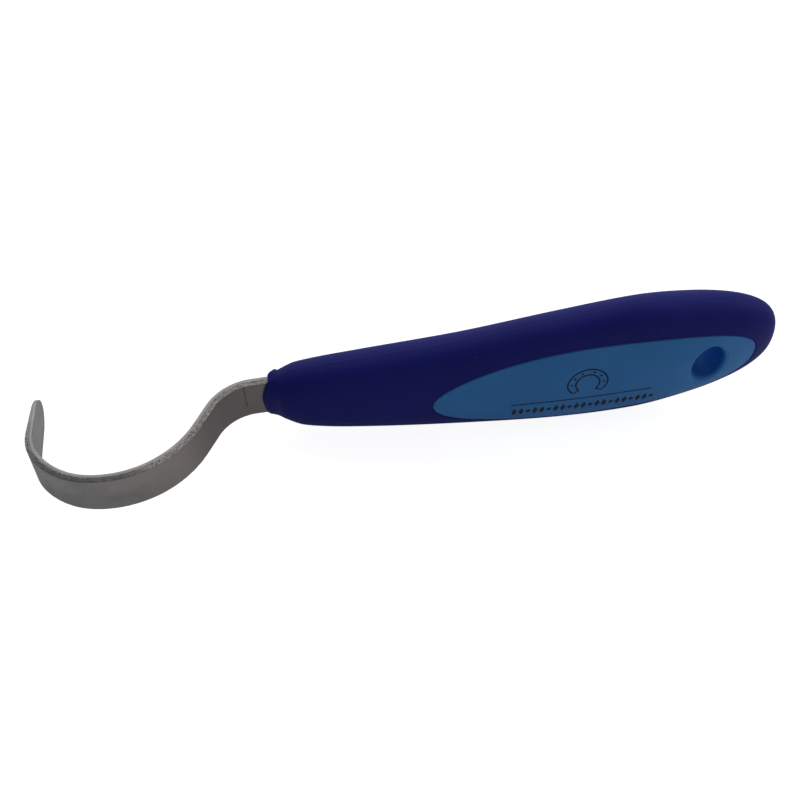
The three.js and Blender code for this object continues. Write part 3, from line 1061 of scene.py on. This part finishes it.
row_tree, given = new_geometry_tree(
    "lozenge row",
    {
        "Geometry": "Geometry",
        "Window": "Object",
        "Count": "Int",
        "Half height": "Float",
        "Half width": "Float",
        "Depth": "Float",
        "Ink": "Material",
    },
)
spots = row_tree.make(
    "GeometryNodeCurveToPoints", {"mode": "COUNT"}, {"Curve": given["Geometry"], "Count": given["Count"]}
)
window_shape = row_tree.make("GeometryNodeObjectInfo", {}, {"Object": given["Window"]}, out=4)
ray = {"Target Geometry": window_shape, "Ray Direction": (0.0, 1.0, 0.0), "Ray Length": 0.05}
touch = row_tree.make("GeometryNodeRaycast", {}, ray, out=1)
facing = row_tree.make("GeometryNodeRaycast", {}, ray, out=2)
spots = row_tree.make(
    "GeometryNodeStoreNamedAttribute",
    {"data_type": "FLOAT_VECTOR", "domain": "POINT"},
    {"Geometry": spots, "Name": "facing", "Value": facing},
)
spots = row_tree.make("GeometryNodeSetPosition", {}, {"Geometry": spots, "Position": touch})
kept_facing = row_tree.make(
    "GeometryNodeInputNamedAttribute", {"data_type": "FLOAT_VECTOR"}, {"Name": "facing"}
)
along_row = row_tree.make("FunctionNodeAlignRotationToVector", {"axis": "X"}, {"Vector": (1.0, 0.0, -0.06)})
flat_on = row_tree.make(
    "FunctionNodeAlignRotationToVector",
    {"axis": "Z", "pivot_axis": "X"},
    {"Rotation": along_row, "Vector": kept_facing},
)
lozenge = row_tree.make(
    "GeometryNodeMeshCylinder", {}, {"Vertices": 4, "Radius": 1.0, "Depth": given["Depth"]}
)
number = row_tree.make("GeometryNodeInputIndex")
small = row_tree.maths("FLOORED_MODULO", number, 3.0).step(1.5, 1.9)
size = row_tree.make(
    "ShaderNodeCombineXYZ",
    {},
    {0: given["Half width"], 1: given["Half height"] * (1.0 - 0.45 * small), 2: 1.0},
)
row = row_tree.make(
    "GeometryNodeInstanceOnPoints",
    {},
    {"Points": spots, "Instance": lozenge, "Rotation": flat_on, "Scale": size},
)
end_tree(row_tree, row, given["Ink"])
row_line = curve_of("row line", [at(62.0, -30.0, -6.3), at(98.5, -30.0, -8.2)], False)
lozenges = run_tree(
    "printed_lozenges",
    row_line,
    row_tree,
    {
        "Window": core,
        "Count": 21,
        "Half height": 1.75 * MM,
        "Half width": 0.72 * MM,
        "Depth": 2 * INK_RISE * MM,
        "Ink": ink,
    },
)
for printed in (mark, lozenges):
    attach(printed, "root")

# ---- Floor, lights and camera ----
# The tool lies on its side on a plain pale floor, touching it with the handle's widest place and the hook's
# edge. Rays from the camera see a bright floor, glossy rays a grey one with a weak glow, and others grey.

HANDLE_REST, HOOK_REST = (95.0, 19.1), (-61.0, 6.0)  # X and half-width of the two places that touch the floor
lean = (HANDLE_REST[1] - HOOK_REST[1]) / (HANDLE_REST[0] - HOOK_REST[0])
lowest = min(v.co.z + lean * v.co.x for piece in (grip, strip) for v in piece.data.vertices)
reach = 4.0
floor_mesh = bpy.data.meshes.new("floor")
corners = ((-reach, -reach), (reach, -reach), (reach, reach), (-reach, reach))
floor_mesh.from_pydata([(x, y, lowest - 0.0001 - lean * x) for x, y in corners], [], [(0, 1, 2, 3)])
floor = bpy.data.objects.new("floor", floor_mesh)
bpy.context.scene.collection.objects.link(floor)
floor_paint, base = new_material("pale floor")
seen = base.make("ShaderNodeLightPath")
seen_in_gloss = base.make("ShaderNodeLightPath", out=3)
grey = base.make("ShaderNodeBsdfDiffuse", {}, {"Color": (0.75, 0.75, 0.75, 1)})
glint = base.make("ShaderNodeEmission", {}, {"Color": (1, 1, 1, 1), "Strength": seen_in_gloss * 0.11})
unseen = base.make("ShaderNodeAddShader", {}, {0: grey, 1: glint})
pale = base.make("ShaderNodeBsdfDiffuse", {}, {"Color": (0.8, 0.8, 0.8, 1)})
glow = base.make("ShaderNodeEmission", {}, {"Color": (1, 1, 1, 1), "Strength": 0.9})
bright = base.make("ShaderNodeAddShader", {}, {0: pale, 1: glow})
either = base.make("ShaderNodeMixShader", {}, {0: seen, 1: unseen, 2: bright})
base.make("ShaderNodeOutputMaterial", {}, {0: either})
floor_mesh.materials.append(floor_paint)

world = bpy.data.worlds.new("studio")
world.use_nodes = True
world.node_tree.nodes["Background"].inputs["Color"].default_value = (0.09, 0.095, 0.1, 1)
world.node_tree.nodes["Background"].inputs["Strength"].default_value = 1.0
bpy.context.scene.world = world

MIDDLE = Vector((0.0352, -0.007, -0.003))


def soft_light(name, direction, distance, size, power):
    data = bpy.data.lights.new(name, "AREA")
    data.shape = "DISK"
    data.size = size
    data.energy = power
    made = bpy.data.objects.new(name, data)
    towards = Vector(direction).normalized()
    made.location = MIDDLE + towards * distance
    made.rotation_mode = "QUATERNION"
    made.rotation_quaternion = (-towards).to_track_quat("-Z", "Y")
    bpy.context.scene.collection.objects.link(made)


soft_light("overhead panel", (0.0, 0.85, 0.53), 1.1, 2.2, 8.0)
soft_light("front fill", (0.3, -0.85, 0.1), 1.2, 0.9, 1.1)
soft_light("butt fill", (0.85, 0.1, 0.35), 0.42, 0.3, 0.22)

AZIMUTH, ELEVATION, ROLL = math.radians(-7.62), math.radians(53.02), math.radians(-2.3)
back = Vector(
    (
        math.sin(AZIMUTH) * math.cos(ELEVATION),
        -math.cos(AZIMUTH) * math.cos(ELEVATION),
        math.sin(ELEVATION),
    )
)
level = Vector((math.cos(AZIMUTH), math.sin(AZIMUTH), 0.0))
upright = back.cross(level)
right = level * math.cos(ROLL) + upright * math.sin(ROLL)
up = upright * math.cos(ROLL) - level * math.sin(ROLL)
camera_data = bpy.data.cameras.new("camera")
camera_data.sensor_width = 36.0
camera_data.lens = 61.43
camera_data.clip_start = 0.01
camera = bpy.data.objects.new("camera", camera_data)
bpy.context.scene.collection.objects.link(camera)
placed = Matrix((right, up, back)).transposed().to_4x4()
placed.translation = Vector((0.00721, -0.2156, 0.27664))
camera.matrix_world = placed
bpy.context.scene.camera = camera
bpy.context.scene.view_settings.view_transform = "Standard"
